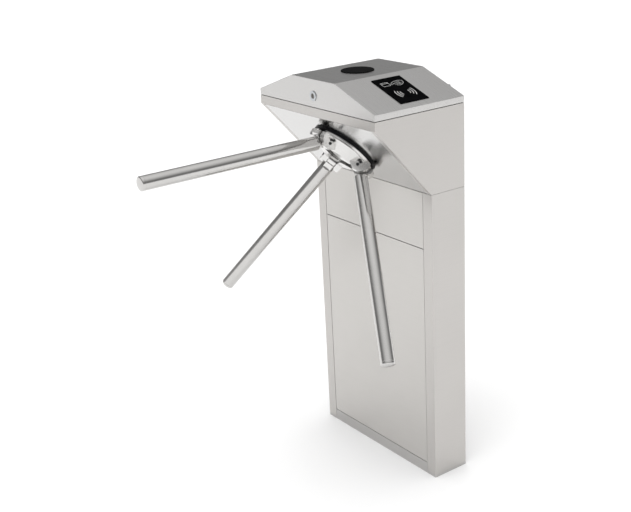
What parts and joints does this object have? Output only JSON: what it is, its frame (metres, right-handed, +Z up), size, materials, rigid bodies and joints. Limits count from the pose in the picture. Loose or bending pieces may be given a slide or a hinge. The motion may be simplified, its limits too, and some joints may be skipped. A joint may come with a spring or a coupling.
{
  "type": "tripod turnstile",
  "caption": "Waist-high tripod turnstile: narrow steel column with an overhanging head, a sloping face with a three-arm hub, a hinged lid with reader windows and a service door.",
  "frame": {"origin": "centre of the four floor anchor holes, at floor level", "axes": "+Z up; -Y towards the passage that the arms close; X along the walking direction"},
  "size_m": [0.6694, 0.7109, 0.9816],
  "materials": {
    "satin_steel": "satin",
    "polished_steel": "polished",
    "zinc_plated": "satin",
    "dark_steel": "satin",
    "black_rubber": "matte",
    "black_gloss": "gloss",
    "black_plastic": "matte",
    "circuit_board": "satin",
    "coil_blue": "satin",
    "pale_plastic": "matte",
    "case_metal": "satin",
    "brass_plug": "satin"
  },
  "bodies": {
    "cabinet": {"lower_shell": "satin_steel", "head_shell": "satin_steel", "slope_panel": "polished_steel", "upper_panel": "satin_steel", "back_panel": "satin_steel", "base_frame": "satin_steel", "cable_grommet": "black_rubber", "door_catches": "zinc_plated", "lid_gasket": "black_rubber", "lid_hinge_fixed": "zinc_plated", "lid_hinge_pins": "zinc_plated", "lid_keeper": "zinc_plated", "guard_ring": "black_plastic", "mech_plate": "zinc_plated", "mech_standoffs": "zinc_plated", "bearing_housing": "dark_steel", "bearings": "polished_steel", "rear_bridge": "zinc_plated", "mech_posts": "zinc_plated", "index_spring": "zinc_plated", "solenoids": "coil_blue", "position_sensor": "black_plastic", "rotary_damper": "dark_steel", "equipment_tray": "zinc_plated", "power_supply": "case_metal", "backup_battery": "black_plastic", "control_board": "circuit_board", "terminal_block": "pale_plastic", "wiring_harness": "black_rubber", "panel_screws": "dark_steel"},
    "service_door": {"door_panel": "satin_steel", "door_hooks": "zinc_plated"},
    "lid": {"lid_shell": "satin_steel", "lid_hinge_moving": "zinc_plated", "indicator_lens": "black_gloss", "indicator_board": "circuit_board", "reader_windows": "black_gloss", "reader_boards": "circuit_board", "lid_lock_barrel": "polished_steel"},
    "lid_key": {"lock_plug": "brass_plug", "lock_cam": "zinc_plated"},
    "hub": {"hub_rim": "polished_steel", "hub_body": "polished_steel", "arm_pins": "dark_steel", "cheek_screws": "dark_steel", "main_shaft": "zinc_plated", "index_cam": "dark_steel", "lock_disc": "zinc_plated"},
    "top_arm": {"arm_a": "polished_steel", "arm_a_block": "polished_steel"},
    "second_arm": {"arm_b": "polished_steel", "arm_b_block": "polished_steel"},
    "third_arm": {"arm_c": "polished_steel", "arm_c_block": "polished_steel"},
    "lever": {"index_lever": "zinc_plated", "index_roller": "pale_plastic"},
    "entry_pawl": {"pawl_in": "zinc_plated"},
    "exit_pawl": {"pawl_out": "zinc_plated"},
    "entry_plunger": {"plunger_in": "polished_steel"},
    "exit_plunger": {"plunger_out": "polished_steel"}
  },
  "joints": [
    {"name": "hub_spin", "type": "hinge", "parent": "cabinet", "child": "hub", "pos_m": [0, -0.1247, 0.80582], "axis": [0, -0.7431, -0.6691], "continuous": true},
    {"name": "arm_a_drop", "type": "hinge", "parent": "hub", "child": "top_arm", "pos_m": [0, -0.18316, 0.83393], "axis": [1, 0, 0], "range_deg": [0, 90]},
    {"name": "arm_b_drop", "type": "hinge", "parent": "hub", "child": "second_arm", "pos_m": [-0.05196, -0.12294, 0.76704], "axis": [-0.5, -0.5795, 0.6436], "range_deg": [0, 38]},
    {"name": "arm_c_drop", "type": "hinge", "parent": "hub", "child": "third_arm", "pos_m": [0.05196, -0.12294, 0.76704], "axis": [-0.5, 0.5795, -0.6436], "range_deg": [0, 38]},
    {"name": "lid_hinge", "type": "hinge", "parent": "cabinet", "child": "lid", "pos_m": [0, 0.055, 0.915], "axis": [-1, 0, 0], "range_deg": [0, 80]},
    {"name": "lid_key_turn", "type": "hinge", "parent": "lid", "child": "lid_key", "pos_m": [0, -0.205, 0.942], "axis": [0, -1, 0], "range_deg": [0, 90]},
    {"name": "door_liftoff", "type": "slide", "parent": "cabinet", "child": "service_door", "axis": [0, -1, 0], "range_m": [0, 0.1]},
    {"name": "lever_swing", "type": "hinge", "parent": "cabinet", "child": "lever", "pos_m": [0.06, -0.08894, 0.9006], "axis": [0, -0.7431, -0.6691], "range_deg": [0, 6.2]},
    {"name": "entry_pawl_swing", "type": "hinge", "parent": "cabinet", "child": "entry_pawl", "pos_m": [0.06084, -0.04745, 0.89338], "axis": [0, 0.7431, 0.6691], "range_deg": [0, 8]},
    {"name": "exit_pawl_swing", "type": "hinge", "parent": "cabinet", "child": "exit_pawl", "pos_m": [-0.06084, -0.04745, 0.89338], "axis": [0, -0.7431, -0.6691], "range_deg": [0, 8]},
    {"name": "entry_plunger_slide", "type": "slide", "parent": "cabinet", "child": "entry_plunger", "axis": [0.866, 0.3346, -0.3716], "range_m": [0, 0.00307]},
    {"name": "exit_plunger_slide", "type": "slide", "parent": "cabinet", "child": "exit_plunger", "axis": [-0.866, 0.3346, -0.3716], "range_m": [0, 0.00307]}
  ],
  "couplings": [
    {"joint": "entry_pawl_swing", "follows": "entry_plunger_slide", "rad_per_m": 45.4},
    {"joint": "exit_pawl_swing", "follows": "exit_plunger_slide", "rad_per_m": 45.4}
  ]
}
